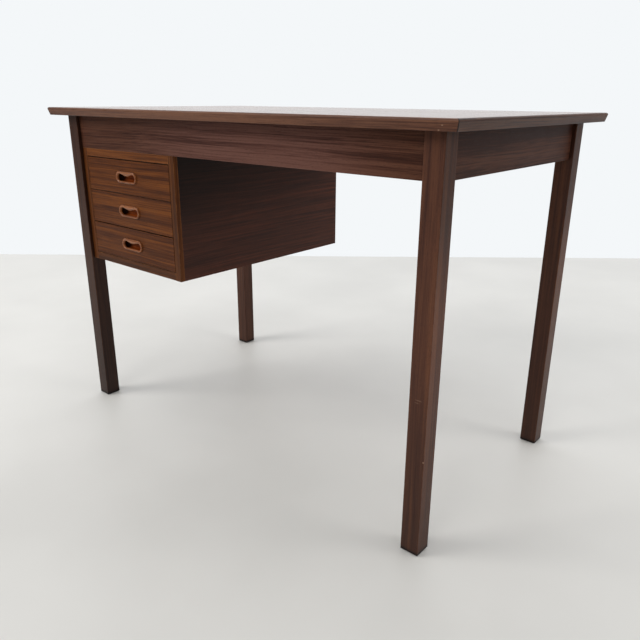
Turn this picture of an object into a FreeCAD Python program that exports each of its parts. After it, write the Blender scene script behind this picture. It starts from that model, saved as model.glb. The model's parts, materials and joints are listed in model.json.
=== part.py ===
import FreeCAD, Part
import math
import os
import re

import Sketcher
from FreeCAD import Placement, Rotation, Vector

# A writing desk with a hanging drawer unit. Millimetres, Z up, X along the desk's long side.
# The drawers open towards -Y. The origin is on the floor under the middle of the desk.

SIZES = {
    # whole desk
    "desk_width": 1073,
    "desk_depth": 602,
    "desk_height": 730,
    # tabletop: a board in four mitred edge lippings, rounded on top and bevelled inwards below
    "top_thickness": 17,
    "edge_lip": 12,
    "edge_bevel": 4.6,
    "edge_round": 3.5,
    "edge_arris": 1,
    # square legs, set in from the tabletop's edges
    "leg_width": 35,
    "leg_inset_x": 35.5,
    "leg_inset_y": 31,
    "leg_arris": 1.2,
    "foot_chamfer": 2,
    # aprons, centred on the legs
    "apron_height": 72,
    "apron_thickness": 20,
    "board_arris": 0.8,
    # dowels, two at each end of an apron and three at each end of the drawer unit's boards
    "dowel_diameter": 8,
    "apron_dowel": 40,
    "dowel_rise": 14,
    "dowel_pitch": 38,
    "dowel_stagger": 12,
    "unit_dowel": 30,
    "unit_dowel_depth": 12,
    "unit_dowel_pitch": 200,
    # blocks that hold the tabletop to the aprons
    "block_length": 60,
    "block_width": 22,
    "block_height": 30,
    "block_spread": 230,
    # wood screws
    "screw_shank": 4,
    "screw_head": 8,
    "screw_hole": 4.4,
    "block_screw": 35,
    "top_screw": 40,
    "unit_screw": 45,
    "unit_screw_spread": 120,
    "unit_screw_inset": 15,
    "runner_screw": 16,
    "runner_screw_shank": 3,
    "runner_screw_head": 6,
    "runner_screw_hole": 3.3,
    # drawer unit, hung under the aprons at the left
    "unit_width": 343,
    "unit_height": 264,
    "unit_board": 17.5,
    "unit_lip": 10,
    "unit_back": 6,
    # drawers
    "front_height": 74.5,
    "front_thickness": 17.5,
    "front_arris": 0.8,
    "front_side_gap": 1,
    "gap_under_bottom": 0.9,
    "gap_under_middle": 2,
    "gap_under_upper": 1,
    "side_thickness": 12,
    "side_height": 62,
    "side_length": 470,
    "side_lift": 6,
    "tail_length": 9,
    "tail_root": 10,
    "tail_end": 13,
    "base_thickness": 4,
    "base_groove": 4.4,
    "base_groove_depth": 5,
    "base_lift": 6,
    "base_play": 0.2,
    "back_thickness": 10,
    "back_setback": 5,
    "back_housing": 4,
    "back_drop": 2,
    # runners, which the grooved drawer sides slide on
    "runner_length": 480,
    "runner_width": 8.4,
    "runner_thickness": 7.2,
    "runner_front_gap": 3.4,
    "runner_screw_inset": 40,
    "groove_width": 9,
    "groove_depth": 6.5,
    "groove_start": 3,
    # carved pulls: an oval ring over a finger recess
    "pull_length": 76,
    "pull_height": 26,
    "pull_proud": 4,
    "pull_arris": 2,
    "plug_length": 68,
    "plug_height": 19,
    "plug_depth": 13,
    "recess_length": 64,
    "recess_height": 15,
    "recess_drop": 1,
    "recess_floor": 2,
    "lip_thickness": 5,
    "lip_bulge": 4,
    "lip_half_width": 26,
}

# Places that several pieces share, as expressions of the sizes above.
INNER_X = "(desk_width / 2 - leg_inset_x - leg_width)"
INNER_Y = "(desk_depth / 2 - leg_inset_y - leg_width)"
APRON_X = f"({INNER_X} + leg_width / 2)"
APRON_Y = f"({INNER_Y} + leg_width / 2)"
TOP_LOW = "(desk_height - top_thickness)"
APRON_LOW = f"({TOP_LOW} - apron_height)"
UNIT_LOW = f"({APRON_LOW} - unit_height)"
UNIT_FRONT = f"(-{APRON_Y} - apron_thickness / 2)"
UNIT_DEPTH = f"(-2 * {UNIT_FRONT})"
OPENING_LEFT = f"(-{INNER_X} + unit_board)"
OPENING_WIDTH = "(unit_width - 2 * unit_board)"
OPENING_RIGHT = f"({OPENING_LEFT} + {OPENING_WIDTH})"
OPENING_LOW = f"({UNIT_LOW} + unit_board)"
OPENING_TOP = f"({APRON_LOW} - unit_board)"
FRONT_WIDTH = f"({OPENING_WIDTH} - 2 * front_side_gap)"
FRONT_BACK_FACE = f"({UNIT_FRONT} + front_thickness)"
RUNNER_RISE = "(side_lift + side_height / 2)"

X_AXIS = Vector(1, 0, 0)
Y_AXIS = Vector(0, 1, 0)
Z_AXIS = Vector(0, 0, 1)

TAILS = 3
SLOT_WIDTH = 1.0
SLOT_DEPTH = 0.9
TIP_LENGTH = 3.0
LEAST_CHANGE = 0.1

doc = FreeCAD.newDocument("writing_desk")
nodes = []


# ---------------------------------------------------------------- sheet and expressions


def make_sheet():
    sheet = doc.addObject("Spreadsheet::Sheet", "Sizes")
    for row, (alias, value) in enumerate(SIZES.items(), start=1):
        sheet.set(f"A{row}", alias)
        sheet.set(f"B{row}", str(value))
        sheet.setAlias(f"B{row}", alias)
    doc.recompute()
    return sheet


def sized(text):
    """The expression with every size read from the sheet."""
    return re.sub(r"[a-z]+(_[a-z]+)+", r"Sizes.\g<0>", text)


def number(text):
    """What an expression of the sizes comes to."""
    return eval_sheet.evalExpression(sized(text))


def at(x, y, z):
    return Vector(number(x), number(y), number(z))


# ---------------------------------------------------------------- bodies and sketches


def new_body(label):
    body = doc.addObject("PartDesign::Body", label)
    body.Label = label
    return body


def new_sketch(body, role, offset="0"):
    """A sketch on one of the body's own origin planes, or parallel to it."""
    plane = next(f for f in body.Origin.OriginFeatures if f.Role == role)
    sketch = body.newObject("Sketcher::SketchObject", f"{body.Name}_sketch")
    sketch.AttachmentSupport = [(plane, "")]
    sketch.MapMode = "FlatFace"
    sketch.setExpression("AttachmentOffset.Base.z", sized(offset))
    return sketch


def bind(sketch, kind, index, place, text):
    """Holds one coordinate of a point at an expression of the sizes."""
    name = sketch.addConstraint(Sketcher.Constraint(kind, -1, 1, index, place, number(text)))
    sketch.setExpression(f"Constraints[{name}]", sized(text))


def arc_between(start, end, axis, level):
    """The arc from start to end whose centre has the given x or y."""
    middle = (start + end) / 2
    across = Vector(start.y - end.y, end.x - start.x, 0)
    step = (level - middle[axis]) / across[axis] if abs(across[axis]) > 1e-9 else 0
    centre = middle + across * step
    radius = (start - centre).Length
    angles = [math.atan2(p.y - centre.y, p.x - centre.x) for p in (start, end)]
    return Part.ArcOfCircle(Part.Circle(centre, Z_AXIS, radius), *angles)


def draw_outline(sketch, corners, arcs=None):
    """A closed outline through corners, drawn anticlockwise. arcs maps a side's number to
    (turn, axis, level): an arc, anticlockwise if turn is 1, whose centre's x or y is at level."""
    arcs = arcs or {}
    points = [Vector(number(x), number(y), 0) for x, y in corners]
    ends = []
    for side, start in enumerate(points):
        end = points[(side + 1) % len(points)]
        if side not in arcs:
            ends.append((sketch.addGeometry(Part.LineSegment(start, end)), 1, 2))
            continue
        turn, axis, level = arcs[side]
        first, last = (start, end) if turn > 0 else (end, start)
        index = sketch.addGeometry(arc_between(first, last, axis, number(level)))
        ends.append((index, 1, 2) if turn > 0 else (index, 2, 1))
        bind(sketch, ("DistanceX", "DistanceY")[axis], index, 3, level)
    for side, (index, start, _) in enumerate(ends):
        before, _, end = ends[side - 1]
        sketch.addConstraint(Sketcher.Constraint("Coincident", before, end, index, start))
        bind(sketch, "DistanceX", index, start, corners[side][0])
        bind(sketch, "DistanceY", index, start, corners[side][1])


def draw_rectangle(sketch, low, high):
    (left, bottom), (right, top) = low, high
    draw_outline(sketch, [(left, bottom), (right, bottom), (right, top), (left, top)])


def draw_oval(sketch, length, height, drop="0"):
    """A straight-sided oval, round at both ends, its middle drop below the sketch's origin."""
    reach = f"({length} / 2 - {height} / 2)"
    low, high = f"(-{height} / 2 - {drop})", f"({height} / 2 - {drop})"
    corners = [(f"-{reach}", low), (reach, low), (reach, high), (f"-{reach}", high)]
    draw_outline(sketch, corners, {1: (1, 0, reach), 3: (1, 0, f"-{reach}")})


def draw_circles(sketch, centres, diameter):
    for x, y in centres:
        middle = Vector(number(x), number(y), 0)
        index = sketch.addGeometry(Part.Circle(middle, Z_AXIS, number(diameter) / 2))
        bind(sketch, "DistanceX", index, 3, x)
        bind(sketch, "DistanceY", index, 3, y)
        name = sketch.addConstraint(Sketcher.Constraint("Diameter", index, number(diameter)))
        sketch.setExpression(f"Constraints[{name}]", sized(diameter))


# ---------------------------------------------------------------- features


def add_feature(body, kind, sketch, length, backwards=False):
    """A Pad or a Pocket of the sketch. One that adds or removes nothing stops the build."""
    before = body.Tip.Shape.Volume if body.Tip else 0
    feature = body.newObject(f"PartDesign::{kind}", f"{body.Name}_{kind.lower()}")
    feature.Profile = sketch
    feature.setExpression("Length", sized(length))
    feature.Reversed = backwards
    body.Tip = feature
    doc.recompute()
    change = feature.Shape.Volume - before
    if (change if kind == "Pad" else -change) < LEAST_CHANGE:
        raise RuntimeError(f"{feature.Name} changes nothing")
    return feature


def drill(body, role, centres, diameter, depth, offset="0", backwards=False):
    sketch = new_sketch(body, role, offset)
    draw_circles(sketch, centres, diameter)
    add_feature(body, "Pocket", sketch, depth, backwards)


def ease(body, kind, size, wanted):
    """Rounds (Fillet) or bevels (Chamfer) the outer edges of the body's tip that wanted accepts."""
    tip = body.Tip
    names = [f"Edge{i}" for i, edge in enumerate(tip.Shape.Edges, start=1) if wanted(edge)]
    feature = body.newObject(f"PartDesign::{kind}", f"{body.Name}_{kind.lower()}")
    feature.Base = (tip, names)
    feature.setExpression({"Fillet": "Radius", "Chamfer": "Size"}[kind], sized(size))
    body.Tip = feature
    doc.recompute()
    if tip.Shape.Volume - feature.Shape.Volume < LEAST_CHANGE:
        raise RuntimeError(f"{feature.Name} removes nothing")


def along(axis):
    """Accepts straight edges parallel to an axis."""

    def wanted(edge):
        if edge.Curve.TypeId != "Part::GeomLine":
            return False
        return abs(abs(edge.tangentAt(edge.FirstParameter).dot(axis)) - 1) < 1e-6

    return wanted


def lies_at(axis, level):
    """Accepts edges that lie in the plane at that level of an axis."""
    height = number(level)

    def wanted(edge):
        box = edge.BoundBox
        low = Vector(box.XMin, box.YMin, box.ZMin).dot(axis)
        high = Vector(box.XMax, box.YMax, box.ZMax).dot(axis)
        return abs(low - height) < 1e-4 and abs(high - height) < 1e-4

    return wanted


def rises(edge):
    """Accepts edges that aren't level."""
    return edge.BoundBox.ZLength > 1e-4


def round_hole(edge):
    return edge.Curve.TypeId == "Part::GeomCircle" and edge.isClosed()


def both(*tests):
    return lambda edge: all(test(edge) for test in tests)


def either(*tests):
    return lambda edge: any(test(edge) for test in tests)


def set_down(part, x, y, z, turn=0):
    """Gives a piece its place, bound to the sheet, and lists it as a node."""
    part.Placement = Placement(Vector(), Rotation(Z_AXIS, turn))
    for axis, text in zip("xyz", (x, y, z)):
        part.setExpression(f"Placement.Base.{axis}", sized(text))
    nodes.append(part)


def new_board(label, length, width, thickness, centred=False):
    """A board along X, Y and Z from its own lowest corner, or from the middle of its lower face."""
    body = new_body(label)
    sketch = new_sketch(body, "XY_Plane")
    if centred:
        draw_rectangle(
            sketch,
            (f"-{length} / 2", f"-{width} / 2"),
            (f"{length} / 2", f"{width} / 2"),
        )
    else:
        draw_rectangle(sketch, ("0", "0"), (length, width))
    add_feature(body, "Pad", sketch, thickness)
    return body


# ---------------------------------------------------------------- fasteners


def new_screw(label, length, shank, head):
    """A slotted countersunk wood screw, its head's face at the origin and its tip towards +Z."""
    body = new_body(label)
    sketch = new_sketch(body, "XZ_Plane")
    cone = f"({head} / 2 - {shank} / 2)"
    corners = [
        ("0", "0"),
        (f"{head} / 2", "0"),
        (f"{shank} / 2", cone),
        (f"{shank} / 2", f"{length} - {TIP_LENGTH}"),
        ("0", length),
    ]
    draw_outline(sketch, corners)
    turned = body.newObject("PartDesign::Revolution", f"{label}_turned")
    turned.Profile = sketch
    turned.ReferenceAxis = (sketch, ["V_Axis"])
    turned.Angle = 360
    body.Tip = turned
    doc.recompute()
    slot = new_sketch(body, "XY_Plane")
    draw_rectangle(
        slot,
        (f"-{head}", f"-{SLOT_WIDTH} / 2"),
        (head, f"{SLOT_WIDTH} / 2"),
    )
    add_feature(body, "Pocket", slot, str(SLOT_DEPTH), backwards=True)
    return body


def new_dowel(label, length):
    """A dowel centred on the origin along Z."""
    body = new_body(label)
    sketch = new_sketch(body, "XY_Plane", f"-{length} / 2")
    draw_circles(sketch, [("0", "0")], "dowel_diameter")
    add_feature(body, "Pad", sketch, length)
    return body


def set_group(label, pattern, places):
    """Identical fasteners as one node: a separate solid at each (point, direction)."""
    copies = []
    for point, direction in places:
        copy = pattern.Shape.copy()
        copy.Placement = Placement(point, Rotation(Z_AXIS, direction))
        copies.append(copy)
    part = doc.addObject("Part::Feature", label)
    part.Label = label
    part.Shape = Part.makeCompound(copies)
    part.Placement = Placement()
    nodes.append(part)


# ---------------------------------------------------------------- tabletop


def build_tabletop():
    board = new_board(
        "top_panel",
        "(desk_width - 2 * edge_lip)",
        "(desk_depth - 2 * edge_lip)",
        "top_thickness",
        centred=True,
    )
    set_down(board, "0", "0", TOP_LOW)
    build_lipping("front", "desk_width", "desk_depth", 0)
    build_lipping("right", "desk_depth", "desk_width", 90)
    build_lipping("back", "desk_width", "desk_depth", 180)
    build_lipping("left", "desk_depth", "desk_width", 270)


def build_lipping(place, length, distance, turn):
    """One edge lipping: outer face towards -Y before its turn, bevelled inwards towards its
    lower edge and mitred at both ends."""
    body = new_body(f"top_lipping_{place}")
    sketch = new_sketch(body, "YZ_Plane", f"-{length} / 2")
    outer = f"(-{distance} / 2)"
    inner = f"({outer} + edge_lip)"
    corners = [
        (f"{outer} + edge_bevel", "0"),
        (inner, "0"),
        (inner, "top_thickness"),
        (outer, "top_thickness"),
    ]
    draw_outline(sketch, corners)
    add_feature(body, "Pad", sketch, length)
    long_edge = along(X_AXIS)
    upper = both(long_edge, lies_at(Y_AXIS, outer))
    lower = both(long_edge, lies_at(Y_AXIS, f"{outer} + edge_bevel"))
    ease(body, "Fillet", "edge_round", upper)
    ease(body, "Fillet", "edge_arris", lower)
    mitres = new_sketch(body, "XY_Plane")
    for end in ("-1", "1"):
        tip = f"({end} * {length} / 2)"
        inside = f"({tip} - {end} * edge_lip)"
        beyond = f"({tip} + {end} * edge_lip)"
        corners = [(tip, outer), (beyond, outer), (beyond, inner), (inside, inner)]
        draw_outline(mitres, corners if end == "1" else corners[::-1])
    add_feature(body, "Pocket", mitres, "top_thickness", backwards=True)
    set_down(body, "0", "0", TOP_LOW, turn)


# ---------------------------------------------------------------- legs and aprons


def dowel_heights(is_long):
    """Above the apron's lower edge. The two aprons at a leg have theirs at different heights."""
    rise = "dowel_rise" if is_long else "(dowel_rise + dowel_stagger)"
    return [rise, f"({rise} + dowel_pitch)"]


def build_leg(place, x, y, turn):
    """A leg whose inner corner is at its own origin, with holes for two aprons' dowels."""
    body = new_body(f"leg_{place}")
    sketch = new_sketch(body, "XY_Plane")
    draw_rectangle(sketch, ("-leg_width", "-leg_width"), ("0", "0"))
    add_feature(body, "Pad", sketch, TOP_LOW)
    ease(body, "Chamfer", "foot_chamfer", lies_at(Z_AXIS, "0"))
    ease(body, "Fillet", "leg_arris", rises)
    for role, is_long, backwards in (
        ("YZ_Plane", turn % 180 == 0, False),
        ("XZ_Plane", turn % 180 != 0, True),
    ):
        centres = [("-leg_width / 2", f"{APRON_LOW} + {rise}") for rise in dowel_heights(is_long)]
        drill(body, role, centres, "dowel_diameter", "apron_dowel / 2", "0", backwards)
    set_down(body, x, y, "0", turn)


def build_apron(place, half_length, is_long, x, y, turn):
    body = new_board(
        f"apron_{place}", f"(2 * {half_length})", "apron_thickness", "apron_height", centred=True
    )
    ease(body, "Fillet", "board_arris", both(along(X_AXIS), lies_at(Z_AXIS, "0")))
    centres = [("0", rise) for rise in dowel_heights(is_long)]
    for offset, backwards in ((half_length, False), (f"-{half_length}", True)):
        drill(body, "YZ_Plane", centres, "dowel_diameter", "apron_dowel / 2", offset, backwards)
    set_down(body, x, y, APRON_LOW, turn)


def build_frame():
    legs = (
        ("front_left", f"-{INNER_X}", f"-{INNER_Y}", 0),
        ("front_right", INNER_X, f"-{INNER_Y}", 90),
        ("back_right", INNER_X, INNER_Y, 180),
        ("back_left", f"-{INNER_X}", INNER_Y, 270),
    )
    for leg in legs:
        build_leg(*leg)
    build_apron("front", INNER_X, True, "0", f"-{APRON_Y}", 0)
    build_apron("right", INNER_Y, False, APRON_X, "0", 90)
    build_apron("back", INNER_X, True, "0", APRON_Y, 180)
    build_apron("left", INNER_Y, False, f"-{APRON_X}", "0", 270)
    dowel = new_dowel("apron_dowel_pattern", "apron_dowel")
    places = []
    for x in (-1, 1):
        for y in (-1, 1):
            for rise in dowel_heights(True):
                point = at(f"{x} * {INNER_X}", f"{y} * {APRON_Y}", f"{APRON_LOW} + {rise}")
                places.append((point, X_AXIS))
            for rise in dowel_heights(False):
                point = at(f"{x} * {APRON_X}", f"{y} * {INNER_Y}", f"{APRON_LOW} + {rise}")
                places.append((point, Y_AXIS))
    set_group("apron_dowels", dowel, places)


# ---------------------------------------------------------------- tabletop blocks


def build_blocks():
    """Blocks inside the aprons, one screw of each into the apron and one up into the top."""
    face_x = f"({APRON_X} - apron_thickness / 2)"
    face_y = f"({APRON_Y} - apron_thickness / 2)"
    blocks = (
        ("front_left", "-block_spread", f"-{face_y}", 0),
        ("front_right", "block_spread", f"-{face_y}", 0),
        ("back_left", "-block_spread", face_y, 180),
        ("back_right", "block_spread", face_y, 180),
        ("left", f"-{face_x}", "0", 270),
        ("right", face_x, "0", 90),
    )
    into_apron, into_top = [], []
    for place, x, y, turn in blocks:
        build_block(place, x, y, turn)
        turned = Rotation(Z_AXIS, turn)
        foot = at(x, y, f"{TOP_LOW} - block_height")
        side = turned.multVec(at("-block_length / 4", "block_width", "block_height / 2"))
        below = turned.multVec(at("block_length / 4", "block_width / 2", "0"))
        into_apron.append((foot + side, turned.multVec(-Y_AXIS)))
        into_top.append((foot + below, Z_AXIS))
    set_group(
        "block_screws",
        new_screw("block_screw_pattern", "block_screw", "screw_shank", "screw_head"),
        into_apron,
    )
    set_group(
        "top_screws",
        new_screw("top_screw_pattern", "top_screw", "screw_shank", "screw_head"),
        into_top,
    )


def build_block(place, x, y, turn):
    """Its back is against the apron and its upper face against the tabletop."""
    body = new_body(f"top_block_{place}")
    sketch = new_sketch(body, "XY_Plane")
    draw_rectangle(sketch, ("-block_length / 2", "0"), ("block_length / 2", "block_width"))
    add_feature(body, "Pad", sketch, "block_height")
    below = [("block_length / 4", "block_width / 2")]
    drill(body, "XY_Plane", below, "screw_hole", "block_height", "0", True)
    side = [("-block_length / 4", "block_height / 2")]
    drill(body, "XZ_Plane", side, "screw_hole", "block_width")
    mouths = either(lies_at(Z_AXIS, "0"), lies_at(Y_AXIS, "block_width"))
    ease(body, "Chamfer", "(screw_head - screw_hole) / 2", both(round_hole, mouths))
    set_down(body, x, y, f"{TOP_LOW} - block_height", turn)


# ---------------------------------------------------------------- drawer unit


def unit_dowel_steps():
    return [f"({UNIT_DEPTH} / 2 + {step} * unit_dowel_pitch)" for step in (-1, 0, 1)]


def build_unit_side(place, x, inner_offset, backwards):
    """A side board and the solid lipping on its front edge."""
    core = new_board(
        f"unit_side_{place}", "unit_board", f"({UNIT_DEPTH} - unit_lip)", "unit_height"
    )
    centres = [
        (f"{step} - unit_lip", rise)
        for step in unit_dowel_steps()
        for rise in ("unit_board / 2", "(unit_height - unit_board / 2)")
    ]
    drill(
        core, "YZ_Plane", centres, "dowel_diameter", "unit_dowel_depth", inner_offset, backwards
    )
    set_down(core, x, f"{UNIT_FRONT} + unit_lip", UNIT_LOW)
    lip = new_board(f"unit_lipping_{place}", "unit_board", "unit_lip", "unit_height")
    ease(lip, "Fillet", "board_arris", both(along(Z_AXIS), lies_at(Y_AXIS, "0")))
    set_down(lip, x, UNIT_FRONT, UNIT_LOW)


def build_unit_shelf(place, z):
    """The top or bottom board, between the sides, and the lipping on its front edge."""
    core = new_board(
        f"unit_{place}", OPENING_WIDTH, f"({UNIT_DEPTH} - unit_lip)", "unit_board"
    )
    centres = [(f"{step} - unit_lip", "unit_board / 2") for step in unit_dowel_steps()]
    depth = "(unit_dowel - unit_dowel_depth)"
    for offset, backwards in (("0", True), (OPENING_WIDTH, False)):
        drill(core, "YZ_Plane", centres, "dowel_diameter", depth, offset, backwards)
    if place == "top":
        centres = [
            (f"({OPENING_WIDTH} / 2 + {step} * unit_screw_spread)", y)
            for step in (-1, 0, 1)
            for y in (
                "(unit_screw_inset - unit_lip)",
                f"({UNIT_DEPTH} - unit_screw_inset - unit_lip)",
            )
        ]
        drill(core, "XY_Plane", centres, "screw_hole", "unit_board", "0", True)
        heads = both(round_hole, lies_at(Z_AXIS, "0"))
        ease(core, "Chamfer", "(screw_head - screw_hole) / 2", heads)
    set_down(core, OPENING_LEFT, f"{UNIT_FRONT} + unit_lip", z)
    lip = new_board(f"unit_lipping_{place}", OPENING_WIDTH, "unit_lip", "unit_board")
    edge = both(along(X_AXIS), lies_at(Y_AXIS, "0"))
    ease(lip, "Fillet", "board_arris", edge)
    set_down(lip, OPENING_LEFT, UNIT_FRONT, z)


def build_unit():
    build_unit_side("left", f"-{INNER_X}", "unit_board", False)
    build_unit_side("right", OPENING_RIGHT, "0", True)
    build_unit_shelf("top", OPENING_TOP)
    build_unit_shelf("bottom", UNIT_LOW)
    back = new_board(
        "unit_back", OPENING_WIDTH, "unit_back", f"({OPENING_TOP} - {OPENING_LOW})"
    )
    set_down(back, OPENING_LEFT, f"-{UNIT_FRONT} - unit_back", OPENING_LOW)
    dowel_shift = "(unit_dowel / 2 - unit_dowel_depth)"
    dowels = [
        (at(x, f"{UNIT_FRONT} + {step}", z), X_AXIS)
        for x in (f"{OPENING_LEFT} + {dowel_shift}", f"{OPENING_RIGHT} - {dowel_shift}")
        for step in unit_dowel_steps()
        for z in (f"{UNIT_LOW} + unit_board / 2", f"{APRON_LOW} - unit_board / 2")
    ]
    set_group("unit_dowels", new_dowel("unit_dowel_pattern", "unit_dowel"), dowels)
    screws = [
        (
            at(
                f"{OPENING_LEFT} + {OPENING_WIDTH} / 2 + {step} * unit_screw_spread",
                f"{side} * (-{UNIT_FRONT} - unit_screw_inset)",
                OPENING_TOP,
            ),
            Z_AXIS,
        )
        for step in (-1, 0, 1)
        for side in (-1, 1)
    ]
    screw = new_screw("unit_screw_pattern", "unit_screw", "screw_shank", "screw_head")
    set_group("unit_screws", screw, screws)


# ---------------------------------------------------------------- runners


def runner_screw_steps():
    return ["runner_screw_inset", "runner_length / 2", "(runner_length - runner_screw_inset)"]


def build_runner(label, x, y, z, turn):
    """A runner with its back at its own x = 0, its middle at z = 0 and its front end at y = 0."""
    body = new_body(label)
    sketch = new_sketch(body, "XY_Plane", "-runner_width / 2")
    draw_rectangle(sketch, ("0", "0"), ("runner_thickness", "runner_length"))
    add_feature(body, "Pad", sketch, "runner_width")
    centres = [(step, "0") for step in runner_screw_steps()]
    drill(body, "YZ_Plane", centres, "runner_screw_hole", "runner_thickness", "0", True)
    mouths = both(round_hole, lies_at(X_AXIS, "runner_thickness"))
    ease(body, "Chamfer", "(runner_screw_head - runner_screw_hole) / 2", mouths)
    set_down(body, x, y, z, turn)


def build_runners(levels):
    front = f"({FRONT_BACK_FACE} + runner_front_gap)"
    screws = []
    for name, low in levels.items():
        middle = f"({low} + {RUNNER_RISE})"
        build_runner(f"runner_{name}_left", OPENING_LEFT, front, middle, 0)
        far_end = f"({front} + runner_length)"
        build_runner(f"runner_{name}_right", OPENING_RIGHT, far_end, middle, 180)
        for step in runner_screw_steps():
            y = f"{front} + {step}"
            left = at(f"{OPENING_LEFT} + runner_thickness", y, middle)
            right = at(f"{OPENING_RIGHT} - runner_thickness", y, middle)
            screws += [(left, -X_AXIS), (right, X_AXIS)]
    screw = new_screw(
        "runner_screw_pattern", "runner_screw", "runner_screw_shank", "runner_screw_head"
    )
    set_group("runner_screws", screw, screws)


# ---------------------------------------------------------------- drawers


def draw_tails(sketch, root, end, lift):
    """The dovetails that join a drawer side to its front, narrow at y = root, wide at y = end."""
    for tail in range(TAILS):
        middle = f"({lift} + side_height * {(tail + 0.5) / TAILS})"
        corners = [
            (end, f"{middle} - tail_end / 2"),
            (root, f"{middle} - tail_root / 2"),
            (root, f"{middle} + tail_root / 2"),
            (end, f"{middle} + tail_end / 2"),
        ]
        draw_outline(sketch, corners)


def build_drawer_front(name, low):
    """The front, its outer face at its own y = 0, with sockets for the sides' dovetails, a groove
    for the base and a mortise for the pull."""
    body = new_board(f"{name}_front", FRONT_WIDTH, "front_thickness", "front_height")
    ease(body, "Fillet", "front_arris", lies_at(Y_AXIS, "0"))
    socket_end = "(front_thickness - tail_length)"
    for offset, backwards in (("0", True), (FRONT_WIDTH, False)):
        sockets = new_sketch(body, "YZ_Plane", offset)
        draw_tails(sockets, "front_thickness", socket_end, "side_lift")
        add_feature(body, "Pocket", sockets, "side_thickness", backwards)
    groove = new_sketch(body, "XZ_Plane", "-front_thickness")
    inset = "(side_thickness - base_groove_depth)"
    level = "(side_lift + base_lift)"
    draw_rectangle(
        groove, (inset, level), (f"({FRONT_WIDTH} - {inset})", f"({level} + base_groove)")
    )
    add_feature(body, "Pocket", groove, "base_groove_depth", backwards=True)
    mortise = new_sketch(body, "XZ_Plane")
    mortise.setExpression("AttachmentOffset.Base.x", sized(f"{FRONT_WIDTH} / 2"))
    mortise.setExpression("AttachmentOffset.Base.y", sized("front_height / 2"))
    draw_oval(mortise, "plug_length", "plug_height")
    add_feature(body, "Pocket", mortise, "plug_depth")
    set_down(body, f"{OPENING_LEFT} + front_side_gap", UNIT_FRONT, low)


def build_pull(name, low):
    """A ring over the front's face and a plug in its mortise, hollowed for the fingertips. The
    ring's upper rim bulges down in the middle, and the hollow reaches up behind it."""
    body = new_body(f"{name}_pull")
    ring = new_sketch(body, "XZ_Plane")
    draw_oval(ring, "pull_length", "pull_height")
    add_feature(body, "Pad", ring, "pull_proud")
    ease(body, "Fillet", "pull_arris", lies_at(Y_AXIS, "-pull_proud"))
    plug = new_sketch(body, "XZ_Plane")
    draw_oval(plug, "plug_length", "plug_height")
    add_feature(body, "Pad", plug, "plug_depth", backwards=True)
    mouth = new_sketch(body, "XZ_Plane", "pull_proud")
    reach = "(recess_length / 2 - recess_height / 2)"
    low_edge = "(-recess_height / 2 - recess_drop)"
    high_edge = "(recess_height / 2 - recess_drop)"
    lip_centre = f"({high_edge} + lip_half_width * lip_half_width / (2 * lip_bulge) - lip_bulge / 2)"
    corners = [
        (f"-{reach}", low_edge),
        (reach, low_edge),
        ("lip_half_width", high_edge),
        ("-lip_half_width", high_edge),
    ]
    arcs = {1: (1, 0, reach), 2: (-1, 1, lip_centre), 3: (1, 0, f"-{reach}")}
    draw_outline(mouth, corners, arcs)
    add_feature(body, "Pocket", mouth, "lip_thickness")
    hollow = new_sketch(body, "XZ_Plane", "(pull_proud - lip_thickness)")
    draw_oval(hollow, "recess_length", "recess_height", "recess_drop")
    depth = "(plug_depth - recess_floor + pull_proud - lip_thickness)"
    add_feature(body, "Pocket", hollow, depth)
    middle = f"{OPENING_LEFT} + {OPENING_WIDTH} / 2"
    set_down(body, middle, UNIT_FRONT, f"{low} + front_height / 2")


def build_drawer_side(label, x, low, outer_low):
    """A side with dovetails at its front end, the runner's groove in its outer face, and the
    base's groove and the back's housing in its inner face."""
    body = new_board(label, "side_thickness", "side_length", "side_height")
    tails = new_sketch(body, "YZ_Plane")
    draw_tails(tails, "0", "-tail_length", "0")
    add_feature(body, "Pad", tails, "side_thickness")
    faces = [("0", True), ("side_thickness", False)]
    outer, inner = faces if outer_low else faces[::-1]
    groove = new_sketch(body, "YZ_Plane", outer[0])
    middle = "side_height / 2"
    draw_rectangle(
        groove,
        ("groove_start", f"({middle} - groove_width / 2)"),
        ("side_length", f"({middle} + groove_width / 2)"),
    )
    add_feature(body, "Pocket", groove, "groove_depth", outer[1])
    base = new_sketch(body, "YZ_Plane", inner[0])
    draw_rectangle(
        base, ("-base_groove_depth", "base_lift"), ("side_length", "(base_lift + base_groove)")
    )
    add_feature(body, "Pocket", base, "base_groove_depth", inner[1])
    housing = new_sketch(body, "YZ_Plane", inner[0])
    far = "(side_length - back_setback)"
    draw_rectangle(
        housing, (f"({far} - back_thickness)", "(base_lift + base_groove)"), (far, "side_height")
    )
    add_feature(body, "Pocket", housing, "back_housing", inner[1])
    set_down(body, x, FRONT_BACK_FACE, f"{low} + side_lift")


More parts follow.
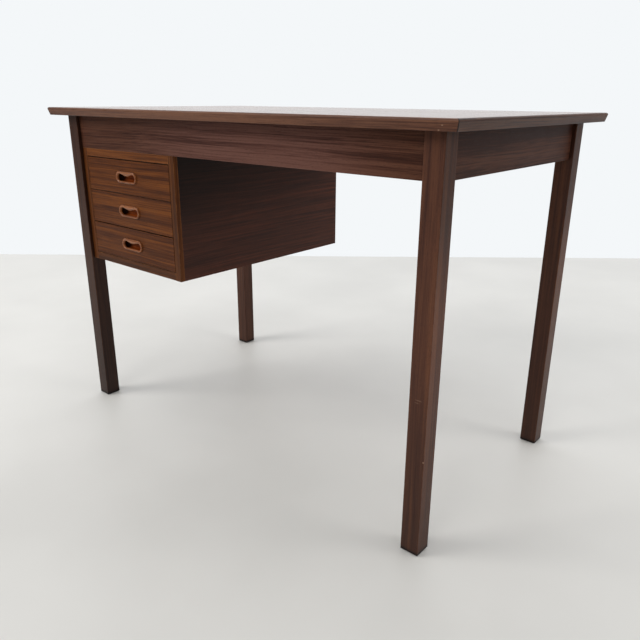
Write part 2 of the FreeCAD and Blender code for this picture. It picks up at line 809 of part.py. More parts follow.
def build_drawer(name, low):
    left = f"({OPENING_LEFT} + front_side_gap)"
    build_drawer_front(name, low)
    build_pull(name, low)
    build_drawer_side(f"{name}_side_left", left, low, True)
    right = f"({left} + {FRONT_WIDTH} - side_thickness)"
    build_drawer_side(f"{name}_side_right", right, low, False)
    reach = "(side_thickness - back_housing)"
    back = new_board(
        f"{name}_back",
        f"({FRONT_WIDTH} - 2 * {reach})",
        "back_thickness",
        "(side_height - base_lift - base_groove - back_drop)",
    )
    set_down(
        back,
        f"{left} + {reach}",
        f"{FRONT_BACK_FACE} + side_length - back_setback - back_thickness",
        f"{low} + side_lift + base_lift + base_groove",
    )
    inset = "(side_thickness - base_groove_depth + base_play)"
    base = new_board(
        f"{name}_base",
        f"({FRONT_WIDTH} - 2 * {inset})",
        "(side_length + base_groove_depth - base_play)",
        "base_thickness",
    )
    set_down(
        base,
        f"{left} + {inset}",
        f"{FRONT_BACK_FACE} - base_groove_depth + base_play",
        f"{low} + side_lift + base_lift + (base_groove - base_thickness) / 2",
    )


def drawer_levels():
    """The lower edge of each drawer's front."""
    bottom = f"({OPENING_LOW} + gap_under_bottom)"
    middle = f"({bottom} + front_height + gap_under_middle)"
    upper = f"({middle} + front_height + gap_under_upper)"
    return {"top_drawer": upper, "middle_drawer": middle, "bottom_drawer": bottom}


# ---------------------------------------------------------------- check and write


def check_document():
    """Stops before anything is written if a feature failed or a piece has no sound shape."""
    doc.recompute()
    failed = [o.Name for o in doc.Objects if "Invalid" in o.State or "Error" in o.State]
    unsound = [n.Label for n in nodes if n.Shape.isNull() or not n.Shape.isValid()]
    if failed or unsound:
        raise RuntimeError(f"failed features {failed}, unsound pieces {unsound}")


def write_parts():
    os.makedirs("parts", exist_ok=True)
    for node in nodes:
        node.Shape.exportStep(f"parts/{node.Label}.step")


eval_sheet = make_sheet()
build_tabletop()
build_frame()
build_blocks()
build_unit()
LEVELS = drawer_levels()
build_runners(LEVELS)
for drawer, level in LEVELS.items():
    build_drawer(drawer, level)
check_document()
write_parts()
print(len(nodes), "pieces written")
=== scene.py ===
"""The looks of the writing desk: wood and steel for its parts, its carved pulls, and a plain studio."""

import json
import math

import bmesh
import bpy
from mathutils import Matrix, Vector


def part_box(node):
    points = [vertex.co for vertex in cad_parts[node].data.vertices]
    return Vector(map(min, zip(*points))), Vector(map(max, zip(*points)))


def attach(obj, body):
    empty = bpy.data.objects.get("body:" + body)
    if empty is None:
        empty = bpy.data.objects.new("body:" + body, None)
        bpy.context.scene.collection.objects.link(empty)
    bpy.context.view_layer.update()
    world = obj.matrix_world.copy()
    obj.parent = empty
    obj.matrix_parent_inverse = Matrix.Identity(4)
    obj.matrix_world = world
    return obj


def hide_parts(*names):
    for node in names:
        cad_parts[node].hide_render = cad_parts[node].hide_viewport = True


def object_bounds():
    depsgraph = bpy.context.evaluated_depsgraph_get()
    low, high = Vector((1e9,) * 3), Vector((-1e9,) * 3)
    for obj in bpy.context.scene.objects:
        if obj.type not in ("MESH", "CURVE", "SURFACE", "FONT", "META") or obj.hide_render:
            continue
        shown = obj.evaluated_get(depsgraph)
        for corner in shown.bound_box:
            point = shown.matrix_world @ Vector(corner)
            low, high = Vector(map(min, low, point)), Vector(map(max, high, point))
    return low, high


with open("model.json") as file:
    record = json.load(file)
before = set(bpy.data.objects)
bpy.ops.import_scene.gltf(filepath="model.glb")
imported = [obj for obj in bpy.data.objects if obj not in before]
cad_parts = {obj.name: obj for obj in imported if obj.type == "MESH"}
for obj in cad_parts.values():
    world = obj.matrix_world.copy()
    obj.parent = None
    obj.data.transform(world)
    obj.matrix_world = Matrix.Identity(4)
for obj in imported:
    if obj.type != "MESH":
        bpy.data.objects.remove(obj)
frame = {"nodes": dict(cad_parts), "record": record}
cad_low, cad_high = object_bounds()

MM = 0.001


def from_srgb(red, green, blue):
    """A colour given as a screen shows it, 0 to 255, as the linear colour that shaders take."""
    shares = [value / 255 for value in (red, green, blue)]
    return tuple(s / 12.92 if s <= 0.04045 else ((s + 0.055) / 1.055) ** 2.4 for s in shares)


# ---------------------------------------------------------------- shader nodes


def add(tree, kind, inputs=None, **settings):
    """A shader node. An input is a number, a colour or another node's output socket."""
    node = tree.nodes.new("ShaderNode" + kind)
    for name, value in settings.items():
        setattr(node, name, value)
    for socket, value in (inputs or {}).items():
        if isinstance(value, bpy.types.NodeSocket):
            tree.links.new(value, node.inputs[socket])
        else:
            node.inputs[socket].default_value = value
    return node


def calculate(tree, operation, *values):
    """The result of a sum on numbers or sockets."""
    return add(tree, "Math", dict(enumerate(values)), operation=operation).outputs[0]


def move(tree, operation, *vectors):
    """The result of a sum on vectors or sockets."""
    return add(tree, "VectorMath", dict(enumerate(vectors)), operation=operation).outputs[0]


def rise(tree, value, start, end, low=0.0, high=1.0):
    """Low up to start and high from end, with a smooth rise between them."""
    inputs = {"Value": value, "From Min": start, "From Max": end, "To Min": low, "To Max": high}
    return add(tree, "MapRange", inputs, interpolation_type="SMOOTHSTEP").outputs["Result"]


def blend_colours(tree, share, first, second, way="MIX"):
    """The first colour with a share of the second. Each is a colour, a number or a socket."""
    node = add(tree, "Mix", data_type="RGBA", blend_type=way)
    for socket, value in (("Factor_Float", share), ("A_Color", first), ("B_Color", second)):
        place = next(i for i in node.inputs if i.identifier == socket)
        if isinstance(value, bpy.types.NodeSocket):
            tree.links.new(value, place)
        elif socket == "Factor_Float":
            place.default_value = value
        else:
            place.default_value = (*value, 1.0)
    return next(o for o in node.outputs if o.identifier == "Result_Color")


def ramp(tree, value, stops):
    """Colours by value; stops are (position, colour)."""
    node = add(tree, "ValToRGB", {"Fac": value})
    elements = node.color_ramp.elements
    while len(elements) < len(stops):
        elements.new(0.5)
    for element, (position, colour) in zip(elements, stops):
        element.position = position
        element.color = (*colour, 1.0)
    return node.outputs["Color"]


SEED_SHIFT = (3.1, 5.7, 7.3)


def noise(tree, place, size, seed, detail):
    """Noise whose lumps are about size metres long: one number, or one for each axis."""
    sizes = size if isinstance(size, tuple) else (size,) * 3
    scale = tuple(1 / value for value in sizes)
    shift = tuple(seed * value for value in SEED_SHIFT)
    scaled = move(tree, "MULTIPLY_ADD", place, scale, shift)
    return add(tree, "TexNoise", {"Vector": scaled, "Scale": 1.0, "Detail": detail})


def object_place(tree):
    """The point being shaded, in the desk's own frame."""
    return add(tree, "TexCoord").outputs["Object"]


def part_of(tree, vector, axis):
    """One number of a vector: X, Y or Z."""
    return add(tree, "SeparateXYZ", {"Vector": vector}).outputs[axis]


def edge_distance(tree, place, low, high):
    """How far a point on a box-shaped piece is from the nearest edge of the box."""
    from_low = move(tree, "SUBTRACT", place, tuple(low))
    from_high = move(tree, "SUBTRACT", tuple(high), place)
    nearest = move(tree, "MINIMUM", from_low, from_high)
    split = add(tree, "SeparateXYZ", {"Vector": nearest}).outputs
    least = calculate(tree, "MINIMUM", split[0], split[1])
    most = calculate(tree, "MAXIMUM", split[0], split[1])
    return calculate(tree, "MAXIMUM", least, calculate(tree, "MINIMUM", most, split[2]))


def new_material(name):
    """A material with an empty node tree but for its shader."""
    material = bpy.data.materials.new(name)
    material.use_nodes = True
    tree = material.node_tree
    tree.nodes.clear()
    shader = add(tree, "BsdfPrincipled")
    add(tree, "OutputMaterial", {"Surface": shader.outputs["BSDF"]})
    return material, tree, shader


def connect(tree, shader, colour, roughness, height, depth, strength=1.0):
    """Colour, roughness and bump of a shader. Height 1 stands depth metres above height 0."""
    tree.links.new(colour, shader.inputs["Base Color"])
    tree.links.new(roughness, shader.inputs["Roughness"])
    bump = add(tree, "Bump", {"Height": height, "Distance": depth, "Strength": strength})
    tree.links.new(bump.outputs["Normal"], shader.inputs["Normal"])


# ---------------------------------------------------------------- wood

# The wood's figure: sizes of its noises in metres, and how much each one counts.
BEND_LENGTH, BEND_WIDTH = 0.45, 0.11
BAND_LENGTH, STREAK_LENGTH, FIBRE_LENGTH = 0.9, 0.3, 0.06
BAND_SHARE, STREAK_SHARE, FIBRE_SHARE = 0.36, 0.42, 0.22

# Pores: their size in metres, the noise values where they start and are whole, and how deep they are.
PORE_LENGTH, PORE_WIDTH = 0.008, 0.0004
PORE_START, PORE_WHOLE = 0.6, 0.72
PORE_DEPTH = 0.7

# Pale edges, rubbed and with painted highlight: their patches, how far they reach in, and where they start
# and are whole.
PATCH_SIZE, PATCH_REACH = 0.018, 0.003
PALE_EDGE_START, PALE_EDGE_WHOLE = 0.0026, 0.0012

# Roughness that streaks, smudges and wear add.
ROUGH_STREAK, ROUGH_SMUDGE, ROUGH_WEAR = 0.12, 0.1, 0.1
SMUDGE_SIZE = 0.05

# Painted crease shade: how near another surface makes a crease, and the open shares where it is darkest and
# gone.
CREASE_REACH, CREASE_SAMPLES = 12 * MM, 6
CREASE_DARKEST, CREASE_GONE = 0.15, 0.85

BUMP_HEIGHT, BUMP_STRENGTH = 0.12 * MM, 0.5


class Wood:
    """A kind of wood: its tones from dark to light, its tone for rubbed and highlighted edges and, by name,
    what differs from these.
    """

    band, streak, fibre = 30, 4, 0.9  # widths of the stripes in mm
    wander = 6  # how far the grain bends aside, in mm
    leaf = 0  # width in mm of the mirrored veneer leaves, or 0
    spread = 0.12  # how soft the stripes are
    pores = 0.5  # how dark the pores are
    edge_paleness = 0.6  # how pale the rubbed and highlighted edges are
    crease = 0.2  # how light the deepest creases are
    gloss = 0.42  # roughness
    underside = 0.0  # extra roughness below the top face
    shine = 0.22  # specular level

    def __init__(self, tones, wear_and_highlight, **others):
        self.tones = [from_srgb(*tone) for tone in tones]
        self.wear_and_highlight = from_srgb(*wear_and_highlight)
        for name, value in others.items():
            setattr(self, name, value)


WOODS = {
    "tabletop_veneer": Wood(
        [(80, 50, 28), (112, 76, 46), (140, 100, 64)],
        (170, 130, 90),
        gloss=0.2,
        shine=0.58,
        leaf=202,
        underside=0.35,
    ),
    # Its pale edge tone also paints the highlight along its rounded top arris.
    "tabletop_lipping": Wood(
        [(69, 38, 26), (97, 61, 44), (117, 77, 55)], (196, 158, 130), streak=2.5, spread=0.09, edge_paleness=0.8
    ),
    "leg_wood": Wood(
        [(63, 33, 23), (87, 51, 35), (105, 64, 42)], (136, 93, 68), band=16, streak=5, spread=0.14, edge_paleness=0.4
    ),
    "apron_veneer": Wood(
        [(60, 33, 25), (86, 54, 44), (104, 70, 58)], (119, 84, 69), streak=3, spread=0.075, shine=0.12
    ),
    "unit_veneer": Wood([(51, 22, 14), (73, 35, 21), (92, 46, 29)], (123, 69, 43), streak=3.5, spread=0.11),
    "unit_lipping": Wood([(64, 32, 14), (92, 50, 21), (117, 67, 29)], (133, 86, 45), band=14, shine=0.12),
    "drawer_veneer": Wood(
        [(62, 29, 11), (91, 48, 20), (118, 66, 26)],
        (135, 84, 42),
        band=11,
        streak=2.5,
        spread=0.11,
        shine=0.1,
        edge_paleness=0.25,
        crease=0.06,
    ),
    "pull_wood": Wood(
        [(102, 52, 25), (136, 80, 44), (168, 106, 62)],
        (240, 192, 142),
        band=8,
        streak=2,
        gloss=0.3,
        shine=0.34,
        crease=1.0,
    ),
    "drawer_wood": Wood(
        [(176, 138, 96), (200, 164, 120), (214, 182, 140)], (214, 186, 150), gloss=0.55, pores=0.3, crease=1.0
    ),
    "drawer_plywood": Wood(
        [(180, 142, 98), (204, 170, 124), (220, 190, 146)], (216, 190, 152), gloss=0.6, pores=0.3, crease=1.0
    ),
    "inner_wood": Wood(
        [(168, 126, 84), (192, 152, 106), (208, 172, 126)], (206, 176, 138), gloss=0.65, pores=0.4, crease=1.0
    ),
    "dowel_wood": Wood(
        [(180, 140, 96), (200, 164, 118), (214, 182, 138)], (214, 186, 148), gloss=0.65, pores=0.4, crease=1.0
    ),
}

# How light single pieces are beside the rest of their kind: partly the wood's own tone, partly painted light
# and shade.
PIECE_TONES_AND_SHADES = {
    "unit_lipping_top": 1.2,
    "unit_lipping_bottom": 0.75,
    "unit_lipping_right": 0.78,
    "leg_front_left": 0.48,
    "leg_back_right": 0.8,
    "leg_back_left": 1.2,
    "top_lipping_right": 0.55,
    "apron_right": 0.85,
}


def stretched(grain, along, across):
    """Sizes of a noise that is long along the grain."""
    return tuple(along if axis == grain else across for axis in range(3))


def book_matched(tree, place, width):
    """Folds the place across the grain, so that neighbouring veneer leaves mirror each other."""
    split = add(tree, "SeparateXYZ", {"Vector": place}).outputs
    shifted = calculate(tree, "ADD", split["Y"], width / 2)
    folded = calculate(tree, "PINGPONG", shifted, width)
    parts = {"X": split["X"], "Y": folded, "Z": split["Z"]}
    return add(tree, "CombineXYZ", parts).outputs["Vector"]


def figure_of(tree, place, grain, wood, seed):
    """The wood's stripes: the place bent by the grain's wander, broad bands, streaks and fibres."""
    if wood.leaf:
        place = book_matched(tree, place, wood.leaf * MM)
    bend = noise(tree, place, stretched(grain, BEND_LENGTH, BEND_WIDTH), seed, 1.0).outputs["Color"]
    centred = move(tree, "SUBTRACT", bend, (0.5, 0.5, 0.5))
    reach = stretched(grain, 0.0, wood.wander * MM * 2)
    bent = move(tree, "MULTIPLY_ADD", centred, reach, place)
    stripes = [
        (BAND_LENGTH, wood.band, 1, 1.0),
        (STREAK_LENGTH, wood.streak, 2, 2.0),
        (FIBRE_LENGTH, wood.fibre, 3, 1.0),
    ]
    made = [bent]
    for length, width, turn, detail in stripes:
        size = stretched(grain, length, width * MM)
        made.append(noise(tree, bent, size, seed + turn, detail).outputs["Fac"])
    return made


# A shade is a factor or a colour that the wood's colour is multiplied by. All here but the mitre lines hold
# painted light and shade. Each function here takes the place and the low and high corners of the piece's box.
# Places and depths are in metres.
# Legs: painted shade toward the floor, the dark sole, and painted light and shade on the right legs' outer
# faces.
FOOT_SHADE_TOP, FOOT_SHADE_TONE = 0.45, 0.6
SOLE_START, SOLE_END, SOLE_TONE = 3 * MM, 11 * MM, 0.12
OUTER_START, OUTER_WHOLE = 0.7 * MM, 0.3 * MM
OUTER_SHADE_START, OUTER_SHADE_WHOLE = 0.42, 0.6
OUTER_LIGHT_BELOW, OUTER_SHADE_ABOVE = 0.3, -0.35

# The drawer unit's painted shade: how much faster it darkens upward than forward, how far that reaches, and
# its darkest.
UNIT_SLOPE, UNIT_REACH, UNIT_SHADE_DARKEST = 2.0, 0.65, 0.22

# The long aprons' painted sheen in the middle: where it starts and is whole from the left and from the right.
SHEEN_LEFT = (-0.36, 0.0)
SHEEN_RIGHT = (0.45, 0.22)
APRON_ENDS, APRON_SHEEN = (0.82, 0.72, 0.58), (1.1, 1.1, 1.2)

# Dark lines at the tabletop's mitres, and painted light on the outer side of the unit's lipping.
MITRE_WHOLE, MITRE_END, MITRE_TONE = 0.8 * MM, 1.8 * MM, 0.12
SIDE_LIGHT_START, SIDE_LIGHT_WHOLE, SIDE_LIGHT = 0.8 * MM, 0.2 * MM, 1.5

# A pull's hollow, before and behind the drawer's face, and the painted shade in it, darkest at its left end.
PLUG_DEPTH = 13  # mm
HOLLOW_START, HOLLOW_WHOLE = 0.5 * MM, 3 * MM
HOLLOW_LEFT, HOLLOW_RIGHT = 9 * MM, 34 * MM
HOLLOW_SHADES = (0.06, 0.86)
HOLLOW_SHADE_TINT = (1.0, 0.62, 0.35)
HOLLOW_SHINE = 0.03


def leg_light_and_shade(tree, place, low, high):
    """Painted shade toward the floor and a dark sole; painted light and shade on the right legs' outer faces.
    """
    split = add(tree, "SeparateXYZ", {"Vector": place}).outputs
    # Painted shade: darker toward the floor.
    foot_shade = rise(tree, split["Z"], 0.0, FOOT_SHADE_TOP, FOOT_SHADE_TONE, 1.0)
    sole = rise(tree, split["Z"], SOLE_START, SOLE_END, SOLE_TONE, 1.0)
    shade = calculate(tree, "MULTIPLY", foot_shade, sole)
    if high.x < cad_high.x / 2:
        return shade
    # Painted light low on the right legs' outer faces, painted shade at their top.
    outer = rise(tree, split["X"], high.x - OUTER_START, high.x - OUTER_WHOLE)
    extra = rise(tree, split["Z"], OUTER_SHADE_START, OUTER_SHADE_WHOLE, OUTER_LIGHT_BELOW, OUTER_SHADE_ABOVE)
    return calculate(tree, "MULTIPLY", shade, calculate(tree, "MULTIPLY_ADD", outer, extra, 1.0))


def unit_painted_shade(tree, place, low, high):
    """Painted shade: the drawer unit's veneer is darker toward its front and top, under the tabletop."""
    inward = move(tree, "SUBTRACT", place, (low.x, low.y, high.z))
    split = add(tree, "SeparateXYZ", {"Vector": inward}).outputs
    way = calculate(tree, "SUBTRACT", split["Y"], calculate(tree, "MULTIPLY", split["Z"], UNIT_SLOPE))
    return rise(tree, way, 0.0, UNIT_REACH, UNIT_SHADE_DARKEST, 1.0)


def apron_painted_sheen(tree, place, low, high):
    """Painted sheen: the long aprons are paler and cooler in the middle, darker and warmer at their ends."""
    along = part_of(tree, place, "X")
    left = rise(tree, along, *SHEEN_LEFT)
    right = rise(tree, along, *SHEEN_RIGHT)
    share = calculate(tree, "MULTIPLY", left, right)
    return blend_colours(tree, share, APRON_ENDS, APRON_SHEEN)


def mitre_shade(tree, place, low, high):
    """The tabletop lipping's corner joints show as thin dark lines."""
    folded = move(tree, "ABSOLUTE", place)
    inward = move(tree, "SUBTRACT", tuple(cad_high), folded)
    split = add(tree, "SeparateXYZ", {"Vector": inward}).outputs
    off = calculate(tree, "ABSOLUTE", calculate(tree, "SUBTRACT", split["X"], split["Y"]))
    return rise(tree, off, MITRE_WHOLE, MITRE_END, MITRE_TONE, 1.0)


def side_painted_light(tree, place, low, high):
    """Painted light: the outer side of the unit's lipping is paler than its front."""
    across = part_of(tree, place, "X")
    return rise(tree, across, high.x - SIDE_LIGHT_START, high.x - SIDE_LIGHT_WHOLE, 1.0, SIDE_LIGHT)


def hollow_share(tree, place, high):
    """1 inside a pull's hollow, 0 on its rim."""
    face = high.y - PLUG_DEPTH * MM
    return rise(tree, part_of(tree, place, "Y"), face - HOLLOW_START, face + HOLLOW_WHOLE)


def pull_painted_shade(tree, place, low, high):
    """Painted shade: a pull's hollow is darker than its rim, most of all at its left end."""
    across = part_of(tree, place, "X")
    end = rise(tree, across, low.x + HOLLOW_LEFT, low.x + HOLLOW_RIGHT, *HOLLOW_SHADES)
    darkened = blend_colours(tree, 1.0, end, HOLLOW_SHADE_TINT, "MULTIPLY")
    return blend_colours(tree, hollow_share(tree, place, high), (1.0, 1.0, 1.0), darkened)


SHADES = {
    "leg_wood": leg_light_and_shade,
    "unit_veneer": unit_painted_shade,
    "apron_veneer": apron_painted_sheen,
    "tabletop_lipping": mitre_shade,
    "pull_wood": pull_painted_shade,
    "unit_lipping": side_painted_light,
}

# Small pale scars: node, place from its box's low corner in mm, size in mm, how strong.
SCARS = [
    ("top_lipping_front", (1045, 2, 8), (1.5, 4, 1.0), 0.4),
    ("top_lipping_front", (1039, 3, 1.5), (1.6, 4, 0.9), 0.4),
    ("leg_front_right", (18, 0, 297), (7, 2, 1.0), 0.14),
    ("leg_front_right", (15, 0, 292), (5, 2, 0.8), 0.12),
    ("leg_front_right", (34, 0, 189), (1.4, 3, 1.2), 0.5),
]
SCAR_COLOUR = from_srgb(196, 160, 132)
SCAR_GRAIN = 0.0012
SCAR_SEED = 9.0
SCAR_EDGE = (1.6, 1.2)


def add_scars(tree, place, low, name, colour):
    """The colour with the piece's scars on it, ragged at their edges."""
    for node, offset, size, strength in SCARS:
        if node != name:
            continue
        away = move(tree, "SUBTRACT", place, tuple(low + Vector(offset) * MM))
        scaled = move(tree, "DIVIDE", away, tuple(value * MM for value in size))
        reach = add(tree, "VectorMath", {0: scaled}, operation="LENGTH").outputs["Value"]
        ragged = noise(tree, place, SCAR_GRAIN, SCAR_SEED, 2.0).outputs["Fac"]
        reach = calculate(tree, "ADD", reach, ragged)
        share = rise(tree, reach, *SCAR_EDGE, 0.0, strength)
        colour = blend_colours(tree, share, colour, SCAR_COLOUR)
    return colour


def paint_crease_shade(tree, colour, darkest):
    """Painted shade: darker in creases, gaps and hollows, where other surfaces are near."""
    node = add(tree, "AmbientOcclusion", {"Distance": CREASE_REACH}, samples=CREASE_SAMPLES)
    shade = rise(tree, node.outputs["AO"], CREASE_DARKEST, CREASE_GONE, darkest, 1.0)
    return blend_colours(tree, 1.0, colour, shade, "MULTIPLY")


def colour_of(tree, mixed, wood, tone):
    """The wood's colour by its figure. Tone is how light the piece is beside its kind, partly painted light
    and shade.
    """
    stops = (0.5 - wood.spread, 0.5, 0.5 + wood.spread)
    tones = [tuple(value * tone for value in colour) for colour in wood.tones]
    return ramp(tree, mixed, list(zip(stops, tones)))


def wear_and_highlight_share(tree, place, low, high, seed):
    """1 along the pale edges of a piece, rubbed and with painted highlight, 0 away from them."""
    patches = noise(tree, place, PATCH_SIZE, seed, 3.0).outputs["Fac"]
    wobble = calculate(tree, "MULTIPLY_ADD", patches, PATCH_REACH, edge_distance(tree, place, low, high))
    return rise(tree, wobble, PALE_EDGE_START, PALE_EDGE_WHOLE)


def roughness_of(tree, place, high, wood, streak, wear_and_highlight, seed):
    """Rougher in the streaks, under smudges, along the rubbed pale edges and on the underside."""
    smudge = noise(tree, place, SMUDGE_SIZE, seed, 3.0).outputs["Fac"]
    rough = calculate(tree, "MULTIPLY_ADD", streak, ROUGH_STREAK, wood.gloss - ROUGH_SMUDGE)
    rough = calculate(tree, "MULTIPLY_ADD", smudge, ROUGH_SMUDGE, rough)
    rough = calculate(tree, "MULTIPLY_ADD", wear_and_highlight, ROUGH_WEAR, rough)
    if wood.underside:
        level = part_of(tree, place, "Z")
        matt = rise(tree, level, high.z - 2 * MM, high.z - MM, wood.underside, 0.0)
        rough = calculate(tree, "ADD", rough, matt)
    return rough


def make_wood(name, slot, low, high, seed):
    """A wooden piece's material. Its grain runs along the longest side of its box."""
    wood = WOODS[slot]
    material, tree, shader = new_material(f"{name}_wood")
    shader.inputs["Specular IOR Level"].default_value = wood.shine
    place = object_place(tree)
    sides = [high[axis] - low[axis] for axis in range(3)]
    grain = sides.index(max(sides))
    bent, band, streak, fibre = figure_of(tree, place, grain, wood, seed)

    mixed = calculate(tree, "MULTIPLY", band, BAND_SHARE)
    mixed = calculate(tree, "MULTIPLY_ADD", streak, STREAK_SHARE, mixed)
    mixed = calculate(tree, "MULTIPLY_ADD", fibre, FIBRE_SHARE, mixed)
    colour = colour_of(tree, mixed, wood, PIECE_TONES_AND_SHADES.get(name, 1.0))

    pore_size = stretched(grain, PORE_LENGTH, PORE_WIDTH)
    pore_noise = noise(tree, bent, pore_size, seed + 4, 1.0).outputs["Fac"]
    pore = rise(tree, pore_noise, PORE_START, PORE_WHOLE)
    pore_shade = calculate(tree, "MULTIPLY_ADD", pore, -wood.pores, 1.0)
    colour = blend_colours(tree, 1.0, colour, pore_shade, "MULTIPLY")

    # Pale edges: rubbed wear, and a painted highlight along rounded arrises.
    wear_and_highlight = wear_and_highlight_share(tree, place, low, high, seed + 5)
    colour = blend_colours(tree, calculate(tree, "MULTIPLY", wear_and_highlight, wood.edge_paleness), colour, wood.wear_and_highlight)
    # Painted light and shade by kind of wood, or the dark mitre lines.
    if slot in SHADES:
        colour = blend_colours(tree, 1.0, colour, SHADES[slot](tree, place, low, high), "MULTIPLY")
    colour = add_scars(tree, place, low, name, colour)
    # Painted shade in creases and gaps.
    if wood.crease < 1:
        colour = paint_crease_shade(tree, colour, wood.crease)

    rough = roughness_of(tree, place, high, wood, streak, wear_and_highlight, seed + 6)
    if slot == "pull_wood":
        shine = rise(tree, hollow_share(tree, place, high), 0.0, 1.0, wood.shine, HOLLOW_SHINE)
        tree.links.new(shine, shader.inputs["Specular IOR Level"])

    height = calculate(tree, "MULTIPLY_ADD", pore, -PORE_DEPTH, fibre)
    connect(tree, shader, colour, rough, height, BUMP_HEIGHT, BUMP_STRENGTH)
    return material


# ---------------------------------------------------------------- steel

STAIN_SIZE = 0.004
STAIN_COLOURS = [(0.35, from_srgb(120, 112, 100)), (0.6, from_srgb(190, 186, 178))]
TURNED_SIZE = (0.0003, 0.0003, 0.003)
STEEL_ROUGH, STEEL_ROUGHER = 0.22, 0.3
STEEL_BUMP = 0.03 * MM


def make_steel(name, seed):
    """Plain steel screws, a little dull and stained."""
    material, tree, shader = new_material(name)
    place = object_place(tree)
    shader.inputs["Metallic"].default_value = 1.0
    stain = noise(tree, place, STAIN_SIZE, seed, 3.0).outputs["Fac"]
    colour = ramp(tree, stain, STAIN_COLOURS)
    turned = noise(tree, place, TURNED_SIZE, seed + 1, 2.0).outputs["Fac"]
    rough = calculate(tree, "MULTIPLY_ADD", turned, STEEL_ROUGHER, STEEL_ROUGH)
    connect(tree, shader, colour, rough, turned, STEEL_BUMP)
    return material


# ---------------------------------------------------------------- carved pulls

STRAIGHT_STEPS = 24
ROUND_STEPS = 16
RIM_STEPS = 12
SHARP_ANGLE = 50

# The pull's ovals, each by its length and height in mm.
RING_SIZE = (76, 26)
MOUTH_SIZE = (65, 16)
PLUG_SIZE = (68, 19)
MOUTH_DROP = 0.8

# The hollow, from its floor outward: ovals with their depths, and depths of its wall, in mm.
HOLLOW_DROP = 1
HOLLOW_FLOOR = [((50, 2), 11.0), ((56, 8), 10.8), ((61, 12.4), 9.2)]
WALL_DEPTHS = (5.5, 2.2)

# The lip bulges down from the mouth's upper side; the rim stands out from the drawer's face.
LIP_BULGE, LIP_REACH = 4.4, 26
LIP_SHARE, LIP_DEPTH = 0.6, 1.0
RIM_OUTER, RIM_HIGH, RIM_ROUNDNESS = 1.2, 2.8, 0.7


class Oval:
    """An outline with straight long sides and round ends, its middle dropped below the pull's."""

    def __init__(self, size, drop=0.0, bulge=0.0):
        length, height = size
        self.half = (length - height) / 2 * MM
        self.radius = height / 2 * MM
        self.drop = drop * MM
        self.bulge = bulge * MM

    def points(self):
        """Clockwise from the left end of the upper side, as (x, z)."""
        ring = []
        for side in (1, -1):
            for step in range(STRAIGHT_STEPS):
                x = side * self.half * (2 * step / STRAIGHT_STEPS - 1)
                ring.append((x, side * self.radius))
            for step in range(ROUND_STEPS):
                turn = math.pi * step / ROUND_STEPS
                x = self.half + self.radius * math.sin(turn)
                ring.append((side * x, side * self.radius * math.cos(turn)))
        return [(x, z - self.drop - self.dip(x, z)) for x, z in ring]

    def dip(self, x, z):
        """How far the upper side bulges down at x."""
        reach = LIP_REACH * MM
        if z < 0 or abs(x) >= reach:
            return 0.0
        return self.bulge * math.cos(math.pi / 2 * x / reach) ** 2


def mix_rings(first, second, share):
    """The ring that lies a share of the way from the first ring to the second."""
    return [
        (a[0] + (b[0] - a[0]) * share, a[1] + (b[1] - a[1]) * share) for a, b in zip(first, second)
    ]


def pull_rings():
    """The pull's rings of points and their depths in mm, from the hollow's floor to the plug's end."""
    outer = Oval(RING_SIZE).points()
    plug = Oval(PLUG_SIZE).points()
    mouth = Oval(MOUTH_SIZE, MOUTH_DROP, LIP_BULGE).points()
    hollow = Oval(MOUTH_SIZE, MOUTH_DROP).points()
    rings = [(Oval(size, HOLLOW_DROP).points(), depth) for size, depth in HOLLOW_FLOOR]
    rings += [(hollow, depth) for depth in WALL_DEPTHS]
    rings.append((mix_rings(hollow, mouth, LIP_SHARE), LIP_DEPTH))
    rings.append((mouth, 0.0))
    for step in range(RIM_STEPS + 1):
        turn = math.pi * step / RIM_STEPS
        share = (1 - math.cos(turn)) / 2
        proud = RIM_OUTER * share + RIM_HIGH * math.sin(turn) ** RIM_ROUNDNESS
        rings.append((mix_rings(mouth, outer, share), -proud))
    rings.append((outer, 0.0))
    rings.append((plug, 0.0))
    rings.append((plug, PLUG_DEPTH))
    return rings


def make_pull(name, centre):
    """A carved pull as one closed mesh. Centre is the middle of its ring on the drawer's face."""
    mesh = bmesh.new()
    loops = []
    for ring, depth in pull_rings():
        points = [centre + Vector((x, depth * MM, z)) for x, z in ring]
        loops.append([mesh.verts.new(point) for point in points])
    count = len(loops[0])
    for inner, outer in zip(loops, loops[1:]):
        for i in range(count):
            j = (i + 1) % count
            mesh.faces.new((inner[i], inner[j], outer[j], outer[i]))
    for loop in (loops[0], loops[-1]):
        close_oval(mesh, loop)
    bmesh.ops.recalc_face_normals(mesh, faces=mesh.faces)
    for face in mesh.faces:
        face.smooth = True
    data = bpy.data.meshes.new(name)
    mesh.to_mesh(data)
    mesh.free()
    data.set_sharp_from_angle(angle=math.radians(SHARP_ANGLE))
    pull = bpy.data.objects.new(name, data)
    bpy.context.scene.collection.objects.link(pull)
    return pull


def close_oval(mesh, loop):
    """Faces across an oval, from each point of its upper half to the one below it."""
    count = len(loop)
    mirror = 2 * STRAIGHT_STEPS + ROUND_STEPS
    start = -ROUND_STEPS // 2
    end = STRAIGHT_STEPS + ROUND_STEPS // 2
    for i in range(start, end):
        corners = [i % count, (i + 1) % count, (mirror - i - 1) % count, (mirror - i) % count]
        mesh.faces.new([loop[c] for c in dict.fromkeys(corners)])


def add_pulls():
    """A carved pull in place of each plain one."""
    for drawer in ("top_drawer", "middle_drawer", "bottom_drawer"):
        node = f"{drawer}_pull"
        low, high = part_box(node)
        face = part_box(f"{drawer}_front")[0].y
        centre = Vector(((low.x + high.x) / 2, face, (low.z + high.z) / 2))
        pull = make_pull(f"{drawer}_carved_pull", centre)
        seed = len(node)
        pull.data.materials.append(make_wood(node, "pull_wood", low, high, seed))
        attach(pull, drawer)
        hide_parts(node)


